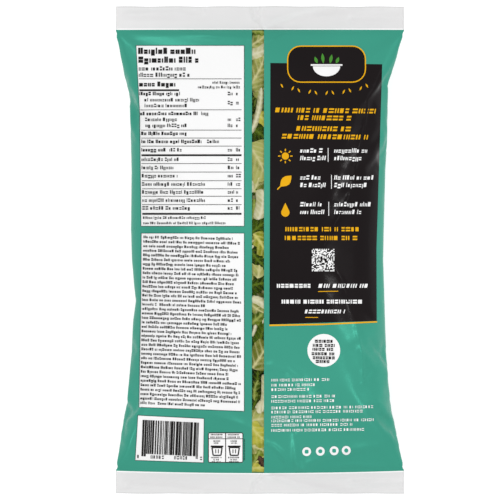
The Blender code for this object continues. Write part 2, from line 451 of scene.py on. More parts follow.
def refined(points):
    """The same film with closer points, closest on its back."""
    along = np.linspace(0, SLEEVE_ROWS, SLEEVE_ROWS * ROW_FINENESS + 1)
    half = SLEEVE_COLUMNS // 2
    back = np.linspace(0, half, BACK_COLUMNS, endpoint=False)
    front = np.arange(half, SLEEVE_COLUMNS)
    points = cubic(points, along, 0, loops=False)
    return cubic(points, np.concatenate([back, front]), 1, loops=True)


def softened(points, passes):
    """The film with its finest crumples eased, its two ends held."""
    for _ in range(passes):
        points[1:-1] = (points[:-2] + 2 * points[1:-1] + points[2:]) / 4
        around = np.roll(points, 1, axis=1) + 2 * points + np.roll(points, -1, axis=1)
        points[1:-1] = around[1:-1] / 4
    return points


def grid_normals(points):
    """Outward normals of a grid of points that closes round the sleeve."""
    around = np.roll(points, -1, axis=1) - np.roll(points, 1, axis=1)
    along = np.gradient(points, axis=0)
    normals = np.cross(around, along)
    return normals / np.maximum(np.linalg.norm(normals, axis=2, keepdims=True), 1e-12)


def seen_at(points):
    """Where points appear on the print's level from the camera's point, in millimetres."""
    eye = np.array(EYE)
    scale = (eye[2] - PRINT_LEVEL) / (eye[2] - points[..., 2:3])
    return (eye[:2] + (points[..., :2] - eye[:2]) * scale) / MM


def distance_to_line(places, line):
    """Distance of each place from a line of points, and how far along it, from 0 to 1."""
    best = np.full(places.shape[:-1], 1e9)
    where = np.zeros(places.shape[:-1])
    for index, (start, end) in enumerate(zip(line, line[1:])):
        a, b = np.array(start, float), np.array(end, float)
        share = np.clip(((places - a) @ (b - a)) / ((b - a) @ (b - a)), 0, 1)
        gap = np.linalg.norm(places - (a + share[..., None] * (b - a)), axis=-1)
        nearer = gap < best
        best = np.where(nearer, gap, best)
        where = np.where(nearer, (index + share) / (len(line) - 1), where)
    return best, where


def ridge(gap, width, height, strength):
    """How far a soft ridge lifts the film at a distance from its line."""
    return height * MM * strength / (1 + (gap / width) ** 2) ** 1.5


def crease(points):
    """Presses the creases into the back of the film."""
    normals = grid_normals(points)
    places = seen_at(points)
    is_back = np.clip(normals[..., 2] * 3, 0, 1)
    lift = np.zeros(points.shape[:2])
    for line, width, height in CREASES:
        gap, along = distance_to_line(places, line)
        lift += ridge(gap, width, height, np.sin(np.pi * np.clip(along, 0.08, 0.92)) ** 0.5)
    row = np.arange(len(points))
    from_end = np.minimum(row, row[::-1]) * CUT_LENGTH / MM / len(points)
    ends = np.clip(from_end / CREASE_END, 0, 1)
    return points + normals * (lift * is_back * ends[:, None])[..., None]


def match_outline(points):
    """Moves the film across, so that its two sides as seen follow the bag's edges."""
    places = seen_at(points)
    stations = np.arange(-OUTLINE_REACH, OUTLINE_REACH + 0.1, OUTLINE_STEP)
    reached, goals = [], []
    for edge, pick in ((LEFT_EDGE, np.min), (RIGHT_EDGE, np.max)):
        seen = [pick(places[np.abs(places[..., 1] - y) < OUTLINE_STEP, 0]) for y in stations]
        reached.append(smooth_along(np.array(seen), OUTLINE_WINDOW))
        goals.append(np.interp(stations, *zip(*edge)))
    ys = places[..., 1]
    left, right = (np.interp(ys, stations, side) for side in reached)
    left_goal, right_goal = (np.interp(ys, stations, side) for side in goals)
    share = (places[..., 0] - left) / (right - left)
    shift = (left_goal + share * (right_goal - left_goal) - places[..., 0]) * MM
    points[1:-1, :, 0] += shift[1:-1]
    return points


def film_points():
    """Points of the finished film between its seals, rows by columns."""
    points = refined(softened(blown_sleeve(), SOFTENING))
    points = match_outline(crease(match_outline(points)))
    points[..., 2] = np.maximum(points[..., 2], FILM_LOWEST)
    return points


FILM = film_points()
FILM_FACES = sleeve_faces(*FILM.shape[:2])
FILM_TREE = BVHTree.FromPolygons(FILM.reshape(-1, 3).tolist(), FILM_FACES)


def print_point(x, y):
    """A place on the print's level, from millimetres."""
    return Vector((x * MM, y * MM, PRINT_LEVEL))


def on_film(x, y, lift=INK_LIFT, eye=EYE):
    """The point of the film that eye sees at (x, y) of the print, lifted off it."""
    place, normal, _, _ = FILM_TREE.ray_cast(eye, print_point(x, y) - eye)
    return None if place is None else place + normal * lift


def on_circle(x, y, radius, turns):
    """Points round (x, y) at these turns."""
    return [(x + radius * math.cos(turn), y + radius * math.sin(turn)) for turn in turns]


def circle(x, y, radius, count=DISC_SIDES):
    """Corners of a round outline."""
    return on_circle(x, y, radius, [2 * math.pi * side / count for side in range(count)])


def rounded_box(x, y, width, height, corner, steps=6):
    """Corners of a box with round corners, about its middle."""
    outline = []
    for quarter, (sx, sy) in enumerate(((1, 1), (-1, 1), (-1, -1), (1, -1))):
        cx, cy = x + sx * (width / 2 - corner), y + sy * (height / 2 - corner)
        turns = [math.pi / 2 * (quarter + step / steps) for step in range(steps + 1)]
        outline += on_circle(cx, cy, corner, turns)
    return outline


def sides(outline):
    """The sides of a closed outline, each as its two ends."""
    return zip(outline, outline[1:] + outline[:1])


def short_sides(outline):
    """The same outline with points added, so that no side is longer than a rule's step."""
    points = []
    for (x1, y1), (x2, y2) in sides(outline):
        steps = max(1, math.ceil(math.hypot(x2 - x1, y2 - y1) / RULE_STEP))
        for step in range(steps):
            points.append((x1 + (x2 - x1) * step / steps, y1 + (y2 - y1) * step / steps))
    return points


def inside(outline, places):
    """True for each place that lies inside the outline."""
    found = np.zeros(len(places), bool)
    x, y = places[:, 0], places[:, 1]
    for (x1, y1), (x2, y2) in sides(outline):
        if y1 != y2:
            crosses = (y1 > y) != (y2 > y)
            found ^= crosses & (x < (x2 - x1) * (y - y1) / (y2 - y1) + x1)
    return found


def cut_outline(mesh, outline, eye, is_back):
    """Cuts the film's faces along an outline as it is seen from eye."""
    corners = [print_point(x, y) for x, y in outline]
    low = [min(corner[axis] for corner in corners) - FIELD_MARGIN for axis in (0, 1)]
    high = [max(corner[axis] for corner in corners) + FIELD_MARGIN for axis in (0, 1)]
    pool = {}
    for face in mesh.faces:
        if (face.normal.z > 0) != is_back:
            continue
        middle = face.calc_center_median()
        if low[0] < middle.x < high[0] and low[1] < middle.y < high[1]:
            pool[face] = middle
    for start, end in sides(corners):
        normal = (start - eye).cross(end - eye).normalized()
        length = (end - start).length
        along = (end - start) / length
        near = []
        for face, middle in pool.items():
            if abs((middle - start).dot(normal)) > FIELD_MARGIN:
                continue
            if -FIELD_MARGIN < (middle - start).dot(along) < length + FIELD_MARGIN:
                near.append(face)
        for face in near:
            del pool[face]
        geom = set(near)
        for face in near:
            geom.update(face.edges, face.verts)
        made = bmesh.ops.bisect_plane(
            mesh, geom=list(geom), dist=1e-8, plane_co=start, plane_no=normal
        )
        for part in made["geom"]:
            if isinstance(part, bmesh.types.BMFace):
                pool[part] = part.calc_center_median()


PLAQUE = rounded_box(*PLAQUE_CENTRE, *PLAQUE_SIZE, PLAQUE_CORNER)
FRONT_WINDOW = rounded_box(0, -62, 84, 58, 14)
FRONT_PANEL = rounded_box(0, 48, 128, 96, 8)

# Each field: its outline, the film piece that it belongs to, and the side it is on.
# Later fields lie over earlier ones.
FIELDS = [
    (WINDOW, "clear", True),
    (NUTRITION_PANEL, "white", True),
    (CONTENTS_PANEL, "white", True),
    (BARCODE_PANEL, "white", True),
    (DARK_PANEL, "dark", True),
    (PLAQUE, "dark", True),
    (circle(*SEAL_DISC), "white", True),
    (FRONT_WINDOW, "clear", False),
    (FRONT_PANEL, "dark", False),
]


def cut_film():
    """The whole film as a mesh, cut along the outline of every field."""
    whole = new_mesh("film", FILM, FILM_FACES)
    mesh = bmesh.new()
    mesh.from_mesh(whole)
    for outline, _, is_back in FIELDS:
        cut_outline(mesh, outline, EYE if is_back else UNDER_EYE, is_back)
    mesh.to_mesh(whole)
    mesh.free()
    return whole


def field_of_faces(centres, normals):
    """The number of the field that each face lies in, or -1 for the teal ground."""
    seen = seen_at(centres)
    below = centres[:, :2] / MM
    faces_up = normals[:, 2] > 0
    found = np.full(len(centres), -1)
    for number, (outline, _, is_back) in enumerate(FIELDS):
        places = seen if is_back else below
        found[inside(outline, places) & (faces_up == is_back)] = number
    return found


def film_pieces():
    """Film split by field into one object for each kind of print."""
    whole = cut_film()
    points = read(whole.vertices, "co", 3)
    shading = read(whole.vertex_normals, "vector", 3)
    centres = read(whole.polygons, "center", 3)
    normals = read(whole.polygons, "normal", 3)
    starts = read(whole.polygons, "loop_start", kind=np.int32)
    totals = read(whole.polygons, "loop_total", kind=np.int32)
    corners = read(whole.loops, "vertex_index", kind=np.int32)
    fields = field_of_faces(centres, normals)
    kinds = np.array([kind for _, kind, _ in FIELDS] + ["teal"])[fields]
    pieces = {}
    for kind in ("teal", "white", "dark", "clear"):
        chosen = np.flatnonzero(kinds == kind)
        polygons = [corners[starts[f] : starts[f] + totals[f]] for f in chosen]
        used, place = np.unique(np.concatenate(polygons), return_inverse=True)
        splits = np.cumsum([len(polygon) for polygon in polygons])[:-1]
        faces = [part.tolist() for part in np.split(place, splits)]
        pieces[kind] = new_piece("film_" + kind, points[used], faces)
        pieces[kind].data.normals_split_custom_set_from_vertices(shading[used].tolist())
    bpy.data.meshes.remove(whole)
    return pieces


class Ink:
    """Flat marks of one colour, gathered to become one mesh on the film."""

    def __init__(self, name, rng, is_back=True):
        self.name = name
        self.rng = rng
        self.is_back = is_back
        self.points = []
        self.faces = []

    def polygon(self, corners, lift=INK_LIFT):
        """A small convex mark, each of its corners laid on the film."""
        eye = EYE if self.is_back else UNDER_EYE
        placed = [on_film(x, y, lift, eye) for x, y in corners]
        if any(point is None for point in placed):
            return
        if not self.is_back:
            placed.reverse()
        first = len(self.points)
        self.points += placed
        self.faces.append(list(range(first, first + len(placed))))

    def bar(self, x1, y1, x2, y2, width, lift=INK_LIFT):
        """A straight rule with a width, in short steps that follow the film."""
        length = math.hypot(x2 - x1, y2 - y1)
        across = (-(y2 - y1) / length * width / 2, (x2 - x1) / length * width / 2)
        steps = max(1, math.ceil(length / RULE_STEP))
        ways = max(1, math.ceil(width / RULE_STEP))
        for way in range(ways):
            low = 2 * way / ways - 1
            high = 2 * (way + 1) / ways - 1
            for step in range(steps):
                a, b = step / steps, (step + 1) / steps
                corners = []
                for share, side in ((a, low), (b, low), (b, high), (a, high)):
                    x = x1 + (x2 - x1) * share + across[0] * side
                    y = y1 + (y2 - y1) * share + across[1] * side
                    corners.append((x, y))
                self.polygon(corners, lift)

    def outline(self, corners, width, lift=INK_LIFT):
        """A rule round a closed outline."""
        for start, end in sides(corners):
            self.bar(*start, *end, width, lift)

    def shape(self, outline, lift=INK_LIFT):
        """A filled star-shaped outline, as rings about its middle."""
        cx = sum(x for x, _ in outline) / len(outline)
        cy = sum(y for _, y in outline) / len(outline)
        reach = max(math.hypot(x - cx, y - cy) for x, y in outline)
        rings = max(1, math.ceil(reach / RULE_STEP))
        for start, end in sides(short_sides(outline)):
            for ring in range(rings):
                a, b = ring / rings, (ring + 1) / rings
                corners = []
                for (x, y), share in ((start, a), (start, b), (end, b), (end, a)):
                    corners.append((cx + (x - cx) * share, cy + (y - cy) * share))
                self.polygon(corners[1:] if ring == 0 else corners, lift)

    def words(self, x1, x2, y, size, slope=0.0, slant=0.0, capitals=False, dense=1.0):
        """A line of plain blocks that stand for lettering, from x1 to x2 at base line y."""
        x = x1
        while x < x2 - 0.5 * size:
            for letter in range(int(self.rng.integers(2, 10))):
                width = size * self.rng.choice(LETTER_WIDTHS)
                if x + width > x2:
                    break
                height, drop = (size, 0.0) if capitals else self.small_letter(size, letter)
                self.letter(x, y + slope * (x - x1) - drop, width, height + drop, slant, dense)
                x += width + LETTER_GAP * size
            x += WORD_GAP * size

    def lines(self, rows, size, **look):
        """Lines of plain blocks: each row holds its two ends and its base line."""
        for x1, x2, y in rows:
            self.words(x1, x2, y, size, **look)

    def small_letter(self, size, letter):
        """Height of a block over its base line, and how far it hangs below."""
        draw = self.rng.random()
        if letter == 0 and draw < 0.3 or draw > 0.74:
            return size * 1.42, 0.0
        return size, size * 0.4 if draw < 0.12 else 0.0

    def letter(self, x, y, width, height, slant, dense):
        """One plain block, or two beside or above each other."""
        form = self.rng.integers(0, 3)
        stem = 0.36 * dense
        if width < 0.5 * height or form == 0:
            self.block(x, y, width * min(1.0, 0.8 * dense), height, slant)
        elif form == 1:
            self.block(x, y, width * stem, height, slant)
            self.block(x + width * (1 - stem), y, width * stem, height, slant)
        else:
            self.block(x, y, width, height * stem, slant)
            top = y + height * (1 - stem)
            self.block(x + slant * height * (1 - stem), top, width, height * stem, slant)

    def block(self, x, y, width, height, slant=0.0):
        """A small slanted box."""
        left, top = x + slant * height, y + height
        self.polygon([(x, y), (x + width, y), (x + width + slant * height, top), (left, top)])

    def build(self):
        """The ink as an object."""
        return new_piece(self.name, self.points, self.faces, False)


def nutrition_print(ink, grey):
    """The first white panel: headings, and ruled rows of names and values."""
    right, size = -13.2, 1.7

    def left(y):
        return np.interp(y, (18, 80, 115, 142), (-81.5, -82.4, -83.9, -84.8))

    def names(ink, ends, size, indent=0.0, **look):
        ink.lines([(left(y) + indent, end, y) for y, end in ends], size, **look)

    names(ink, ((136.1, -42.4), (130.0, -41.7)), 3.0, dense=1.3)
    names(grey, ((124.6, -50.8), (120.2, -46.9)), 2.05)
    names(ink, [(113.5, -57.6)], 2.4, dense=1.2)
    ink.lines([(-33.0, right, 115.4), (-43.1, right, 112.2)], 1.3)
    ink.bar(left(111), 110.9, -56.2, 110.9, 1.2)
    bold = ((107.4, -60.5, 5), (93.6, -42.0, 5), (79.8, -57.0, 5), (74.2, -38.0, 9), (68.4, -64.0, 9))
    for y, end, value in bold:
        names(ink, [(y, end)], size, dense=1.15)
        grey.words(end + 1.2, end + 1.2 + value, y, size)
    names(grey, ((103.1, -42.0), (99.1, -50.0), (89.5, -55.0), (85.3, -50.5)), size, 3.2)
    plain = ((61.8, -55.0), (56.1, -58.5), (50.4, -56.5), (44.6, -37.0), (39.1, -37.5),
             (33.4, -37.0), (28.0, -47.0))
    names(grey, plain, size)
    for y in [107.4, 101.1, 89.5, 85.3, 68.4] + [y for y, _ in plain]:
        grey.lines([(-22.4, -17.8, y), (-16.6, right, y)], size)
    for y in (118.8, 97.3, 83.2, 77.7, 72.1, 60.0, 54.1, 48.1, 42.5, 37.3, 31.5):
        grey.bar(left(y), y, right + 0.4, y, 0.38)
    for y in (65.8, 25.1):
        ink.bar(left(y), y, right + 0.4, y, 1.25)
    names(ink, ((21.6, -36.0), (17.9, -22.5)), 1.2, 0.4)


def contents_print(ink, grey, rng):
    """The second white panel: many lines of very small lettering."""
    lines, pitch, size = 38, 3.11, 1.28
    for line in range(lines):
        share = line / lines
        slope = -0.020 - 0.018 * share
        base = 8.2 - line * pitch
        left = -80.8 - 2.3 * share
        end = -12.6 - 10.0 * rng.random() ** 2
        if line in (15, 37):
            end = -38.0
        if line in (0, 15, 16, 37):
            ink.words(left, left + 11, base, size, slope)
            base += slope * 12
            left += 12
        grey.words(left, end, base, size, slope, dense=1.15)


def barcode_print(ink, rng):
    """Plain upright bars of random widths, with plain blocks for the figures under them."""
    left, right, slope, module, spread = -81.4, -42.4, -0.05, 0.41, 0.13
    x = left
    while x < right:
        width = module * rng.choice([1, 1, 2, 2, 3, 4])
        top = -117.9 + slope * (x - left)
        long = x < left + 3 or x > right - 3
        foot = top - (25.2 if long else 23.4)
        ink.bar(x + width / 2 - 0.9, foot, x + width / 2, top, width + spread)
        x += width + module * rng.choice([1, 1, 1, 2])
    for start, figures in ((-85.2, 1), (-75.9, 5), (-59.5, 5), (-41.6, 1)):
        for figure in range(figures):
            x = start + 1.95 * figure
            ink.letter(x, -144.6 + slope * (x - left) * 0.6, 1.3, 2.3, 0.0, 0.9)


def tub_boxes(white, ink):
    """Two plain cells side by side at the foot of the left column, each with a tub in it."""
    left, right, top, bottom = -35.8, -11.9, -126.9, -147.4
    middle, level = (left + right) / 2, (top + bottom) / 2
    white.bar(left, level, right, level, top - bottom, INK_LIFT * 0.5)
    ink.outline(rounded_box(middle, level, right - left, top - bottom, 1.0, 3), 0.55)
    ink.bar(middle, bottom, middle, top, 0.6)
    ink.bar(left, top - 4.1, right, top - 4.1, 0.45)
    notes = ((1.7, 4.4), (3.5, 4.7), (6.2, 2.6), (7.6, 2.2), (17.6, 4.2), (19.1, 2.6), (20.6, 3.6))
    tub = ((3.5, -10.2), (2.7, -15.6), (-2.7, -15.6), (-3.5, -10.2))
    for x in ((left + middle) / 2, (middle + right) / 2):
        ink.lines([(x - half, x + half, top - down) for down, half in notes], 0.95, capitals=True)
        ink.bar(x - 4.4, top - 9.4, x + 4.4, top - 9.4, 1.1)
        ink.outline([(x + dx, top + dy) for dx, dy in tub], 0.9)
        for offset in (-0.9, 0.9):
            ink.bar(x + offset, top - 11.4, x + offset, top - 14.2, 0.6)


def side_note(ink, rng):
    """A very small line of lettering that stands on end beside the two cells."""
    y = -145.9
    while y < -133:
        length = rng.uniform(0.6, 2.2)
        ink.bar(-10.8, y, -10.8, y + length, 0.6)
        y += length + 0.5


def arc(start, end, steps):
    """Turns from start to end degrees, in radians."""
    return [math.radians(start + (end - start) * step / steps) for step in range(steps + 1)]


def leaf_outline(x, y, length, width, lean):
    """A pointed leaf that stands on (x, y), leaning to the right by its lean in radians."""
    s, c = math.sin(lean), math.cos(lean)
    corners = []
    for share, side in [(n / 6, 1) for n in range(7)] + [(n / 6, -1) for n in range(5, 0, -1)]:
        off = side * width / 2 * math.sin(math.pi * share)
        along = length * share
        corners.append((x + off * c + along * s, y - off * s + along * c))
    return corners


def bowl_of_leaves(white, green, x, y, size):
    """A plain bowl with four leaves that stand in it, about (x, y)."""
    bowl = []
    for turn in arc(180, 360, 14):
        bowl.append((x + 9.5 * size * math.cos(turn), y + (7.0 * math.sin(turn) - 1.5) * size))
    white.shape(bowl)
    rim = y - 0.6 * size
    white.bar(x - 11.0 * size, rim, x + 11.0 * size, rim, 1.1 * size)
    for offset, tall, lean in ((-6.4, 5.2, -0.35), (-2.2, 7.4, -0.1), (2.4, 6.6, 0.2), (6.6, 5.0, 0.4)):
        leaf = leaf_outline(x + offset * size, y + 0.3 * size, tall * size, 2.3 * size, lean)
        green.shape(leaf, INK_LIFT * 1.3)


def seed_garland(yellow):
    """Small seed shapes along an arc under the plaque."""
    for seed in range(11):
        x = 16.0 + 5.9 * seed
        sag = 1 - ((seed - 5) / 5) ** 2
        yellow.shape(leaf_outline(x, 112.5 - 5.0 * sag, 3.4, 1.1, 0.5 * (1 if seed % 2 else -1)))


def sun_mark(yellow, x, y):
    """A small sun."""
    yellow.shape(circle(x, y, 2.5, 20))
    for ray in range(8):
        turn = math.pi * ray / 4
        c, s = math.cos(turn), math.sin(turn)
        yellow.bar(x + 3.4 * c, y + 3.4 * s, x + 5.0 * c, y + 5.0 * s, 0.8)


def leaf_mark(yellow, x, y):
    """A small leaf with a stalk."""
    yellow.shape(leaf_outline(x - 3.6, y - 3.6, 11.0, 6.4, 0.8))
    yellow.bar(x - 5.6, y - 5.6, x - 3.2, y - 3.2, 0.8)


def drop_mark(yellow, x, y):
    """A small drop."""
    yellow.shape(on_circle(x, y - 1.2, 2.9, arc(155, 385, 16)) + [(x, y + 5.6)])


def dark_panel_print(yellow, white, green, rng):
    """The black panel: plaque, headings, three marked rows and a random square."""
    yellow.outline(PLAQUE, 0.8)
    bowl_of_leaves(white, green, *PLAQUE_CENTRE, 1.0)
    seed_garland(yellow)
    headings = ((10.4, 80.2, 95.6), (26.0, 63.9, 90.3), (25.0, 65.6, 82.8), (15.0, 74.8, 77.4))
    yellow.lines(headings, 3.2, slope=-0.012, slant=0.2, capitals=True)
    sun_mark(yellow, 17.6, 65.2)
    leaf_mark(yellow, 17.6, 47.6)
    drop_mark(yellow, 17.6, 27.2)
    for y1, y2, wide, bar in ((67.6, 62.4, 76.0, 47.3), (48.9, 43.7, 79.2, 49.6), (30.3, 25.0, 77.0, 47.7)):
        notes = ((27.8, 43.6, y1), (27.8, 46.2, y2), (51.4, wide, y1), (51.4, wide - 5, y2))
        white.lines(notes, 2.1, slant=0.15)
        white.bar(bar, y2 - 1.2, bar, y1 + 3.2, 0.45)
    yellow.lines(((17.6, 69.8, 13.0), (17.2, 70.0, 6.9)), 2.9, capitals=True)
    random_square(white, 36.0, -14.8, 15.6, rng)
    white.words(11.7, 38.5, -26.2, 2.7, capitals=True, dense=1.15)
    white.words(40.4, 77.2, -26.2, 2.7, slant=0.25, capitals=True)
    yellow.bar(40.3, -28.8, 54.2, -28.6, 0.5)
    white.words(15.0, 71.7, -37.2, 2.7, capitals=True, dense=1.15)
    white.words(31.0, 60.6, -44.0, 2.6, slant=0.25, capitals=True)
    yellow.bar(31.5, -46.8, 40.3, -46.8, 0.5)
    yellow.bar(6.5, -52.3, 44.0, -51.6, 1.1)
    yellow.bar(44.0, -51.6, 81.2, -49.9, 1.0)


def random_square(ink, x, y, size, rng):
    """A square of random plain cells."""
    cells, share_filled = 21, 0.52
    step = size / cells
    for row in range(cells):
        for column in range(cells):
            if rng.random() < share_filled:
                ink.block(x + column * step, y + row * step, step * 0.98, step * 0.98)


def right_foot_print(white, dark, teal):
    """Under the black panel: a disc of lettering, small lines and four plain marks."""
    x, y, _ = SEAL_DISC
    disc = ((5.4, 6.2), (2.5, 7.6), (-0.2, 7.8), (-3.3, 8.4), (-6.1, 7.6), (-8.7, 5.6))
    disc = [(x - half, x + half, y + base) for base, half in disc]
    dark.lines(disc, 2.0, slope=-0.01, capitals=True, dense=1.15)
    ends = ((-90.9, 49.9), (-94.4, 38.9), (-97.5, 34.7), (-102.4, 54.2), (-105.6, 53.2), (-110.2, 79.9),
            (-113.1, 71.5), (-116.6, 36.1), (-119.2, 80.6), (-122.2, 66.0), (-125.8, 72.6))
    notes = [(7.9, end, base - 0.3) for base, end in ends]
    white.lines(notes, 1.75, slope=0.012, capitals=True, dense=0.8)
    for number, (cx, cy) in enumerate(((32.4, -139.9), (41.9, -139.7), (51.5, -139.3), (59.9, -139.1))):
        white.shape(circle(cx, cy, 3.1, 20))
        hole = circle(cx, cy, 1.4, 14) if number % 2 else rounded_box(cx, cy, 2.6, 2.6, 0.7, 3)
        teal.shape(hole, INK_LIFT * 1.6)


def front_print(yellow, white, green):
    """The hidden front: rims round its panel and its window, and a large bowl of leaves."""
    yellow.outline(FRONT_PANEL, 1.2)
    yellow.outline(FRONT_WINDOW, 1.2)
    bowl_of_leaves(white, green, 0, 46, 3.4)


def panel_borders(edge):
    """Fine dark lines round the white panels."""
    for outline in (NUTRITION_PANEL, CONTENTS_PANEL, BARCODE_PANEL):
        edge.outline(outline, 0.4, INK_LIFT * 0.7)


# Colours of the inks, on the back and on the front alike.
INK_COLOURS = {
    "black": (0.012, 0.011, 0.011),
    "grey": (0.035, 0.035, 0.035),
    "white": (0.84, 0.84, 0.84),
    "yellow": (0.75, 0.385, 0.005),
    "green": (0.060, 0.240, 0.030),
    "edge": (0.020, 0.085, 0.068),
    "teal": (0.036, 0.318, 0.232),
}


def all_inks():
    """Every ink of the print as an object, with its colour."""
    rng = np.random.default_rng(SEED)
    backs = [Ink("ink_" + colour, rng) for colour in INK_COLOURS]
    black, grey, white, yellow, green, edge, teal = backs
    panel_borders(edge)
    nutrition_print(black, grey)
    contents_print(black, grey, rng)
    barcode_print(black, rng)
    tub_boxes(white, black)
    side_note(edge, rng)
    dark_panel_print(yellow, white, green, rng)
    right_foot_print(white, black, teal)
    fronts = [Ink("front_" + colour, rng, False) for colour in ("yellow", "white", "green")]
    front_print(*fronts)
    return [(ink.build(), INK_COLOURS[ink.name.split("_")[1]]) for ink in backs + fronts]


def seal_grid(line, end, phase):
    """Places and heights of a flat seal, row by row from the film's end to the bag's."""
    across = np.linspace(-HALF_WIDTH, HALF_WIDTH, SEAL_COLUMNS + 1)
    arch = 1 - (across / HALF_WIDTH) ** 2
    share = SEAL_ROWS[:, None]
    bow = SEAL_BOW * arch if end < 0 else 0 * across
    ends = end + math.copysign(SEAL_WAVER, line) * np.sin(across * 90 + phase) ** 2
    ys = (line - bow) + (ends - line + bow) * share
    xs = 0 * ys + across
    places = np.stack([xs, np.abs(ys - line)], axis=-1) / MM
    heights = seal_height(across) - SEAL_DROOP * share**2 * arch
    heights = heights + SEAL_RIPPLE * np.sin(across * 62 + phase) * share**1.3
    for fold, width, height in SEAL_FOLDS:
        gap, _ = distance_to_line(places, fold)
        heights = heights + ridge(gap, width, height, np.clip(share * 8, 0, 1))
    return xs, ys, heights


def seal_band(name, line, end, phase):
    """A flat seal: a thin closed slab from the film's last row to the bag's end."""
    xs, ys, heights = seal_grid(line, end, phase)
    levels = (heights + SEAL_THICKNESS / 2, heights - SEAL_THICKNESS / 2)
    points = np.stack([np.stack([xs, ys, z], axis=-1) for z in levels])
    grid = np.arange(ys.size).reshape(ys.shape).T
    band = new_piece(name, points, slab_faces(grid, end < 0))
    band.data.set_sharp_from_angle(angle=math.radians(50))
    tone = np.full(ys.shape, SEAL_TONE)
    tone[SEAL_ROWS < 0.05] = SEAL_BORDER_TONE
    tone[SEAL_ROWS > 0.955] = SEAL_RIM_TONE
    tone[:, [0, -1]] = SEAL_RIM_TONE
    keep_numbers(band, "tone", np.tile(tone.reshape(-1), 2).astype(np.float32))
    return band


class Leaves:
    """Leaves of one kind, gathered to become one mesh."""

    def __init__(self, name):
        self.name = name
        self.points = []
        self.faces = []
        self.veins = []
        self.tones_with_depth_shade = []

    def add(self, x, y, length, width, turn, depth, rng, is_back=True):
        """A thin wavy leaf under the film at (x, y), all in millimetres."""
        look = LEAF_KINDS[self.name]
        face = look.face * (2 if (not is_back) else 1)
        rows, columns = (max(6, math.ceil(side / face)) for side in (length, width))
        s, t = np.meshgrid(np.linspace(-1, 1, rows + 1), np.linspace(-1, 1, columns + 1), indexing="ij")
        phases = rng.uniform(0, 2 * np.pi, 8)
        narrow = np.maximum(1 - np.abs(s) ** look.square, 0.02) ** 0.5
        jags = np.sin(s * 5 + phases[0]) + 0.7 * np.sin(s * 13 + phases[1])
        jags += 0.5 * np.sin(s * 29 + phases[2])
        narrow *= 1 + look.ragged * jags * np.sign(t + 1e-6)
        u = s * length / 2 * (1 + look.ragged * 0.6 * np.sin(t * 7 + phases[3]))
        bend = rng.uniform(-0.1, 0.1) * length * (s**2 - 0.3)
        v = t * width / 2 * narrow + bend
        angle = math.radians(turn)
        xs = x + u * math.cos(angle) - v * math.sin(angle)
        ys = within_film(y + u * math.sin(angle) + v * math.cos(angle))
        vein = leaf_veins(u, v - bend, length, look.spacing, rng)
        wave = np.sin(u * 0.45 + phases[4]) * np.sin(v * 0.38 + phases[5])
        wave += 0.5 * np.sin(u * 0.9 + v * 0.5 + phases[6])
        top = depth + look.wave * 0.35 * (wave + 1.5) + look.crown * t**2 - look.relief * vein
        under = top + look.thick * np.sqrt(np.maximum(1 - t**2 * 0.9, 0.05))
        self.sheet(xs, ys, (top, under), is_back)
        self.veins += vein.reshape(-1).tolist() * 2
        # Each leaf's tone: a random share, made darker the deeper the leaf lies as painted shade.
        self.tones_with_depth_shade += [rng.uniform(-1, 1) - max(0.0, depth - 1.5)] * (2 * vein.size)

    def sheet(self, xs, ys, falls, is_back):
        """Both faces of a leaf and the rim that joins them, at their depths under the film."""
        grid = np.arange(xs.size).reshape(xs.shape) + len(self.points)
        self.faces += slab_faces(grid, not is_back)
        near, far = film_heights(xs, ys, is_back), film_heights(xs, ys, not is_back)
        squeeze = np.clip(0.9 * np.abs(near - far) / (falls[1] * MM), 0, 1)
        sign = 1 if is_back else -1
        for fall in falls:
            z = near - sign * squeeze * fall * MM
            self.points += np.stack([xs * MM, ys * MM, z], axis=-1).reshape(-1, 3).tolist()

    def build(self):
        """The leaves as an object, with their veins and their tones, which hold painted shade for depth,
        kept on its mesh.
        """
        piece = new_piece(self.name, self.points, self.faces)
        keep_numbers(piece, "vein", self.veins)
        keep_numbers(piece, "tone", self.tones_with_depth_shade)
        return piece


def within_film(ys):
    """Leaf places in y, drawn in where they would reach past the end seals."""
    low = (BOTTOM_LINE - SEAL_BOW) / MM + LEAF_END_GAP
    high = TOP_LINE / MM - LEAF_END_GAP
    over = np.maximum(ys - high + 1, 0) + np.minimum(ys - low - 1, 0)
    return ys - over + np.sign(over) * (1 - np.exp(-np.abs(over)))


def leaf_veins(u, v, length, spacing, rng):
    """Strength of the veins over a leaf: a midrib, and side veins that branch from it."""
    angle = rng.uniform(0.7, 1.0)
    along = (u - np.abs(v) / math.tan(angle)) / spacing + rng.uniform(0, 1)
    gap = np.abs(along % 1 - 0.5) * spacing * math.sin(angle)
    side = np.exp(-((gap / 0.45) ** 2)) * np.exp(-np.abs(v) / 9)
    middle = np.exp(-((v / (0.5 + 0.5 * (0.5 - u / length))) ** 2))
    return np.clip(0.75 * side + middle, 0, 1)


def film_side(x, y, is_back):
    """Height of the film's back or front at (x, y) in millimetres, or the seals' beside it."""
    start, way = (1.0, -1) if is_back else (-1.0, 1)
    place, _, _, _ = FILM_TREE.ray_cast(Vector((x * MM, y * MM, start)), Vector((0, 0, way)))
    return SEAL_HEIGHT if place is None else place.z


def film_heights(xs, ys, is_back):
    """Heights of the film's back or front at a grid of places."""
    places = zip(xs.reshape(-1), ys.reshape(-1))
    return np.array([film_side(x, y, is_back) for x, y in places]).reshape(xs.shape)


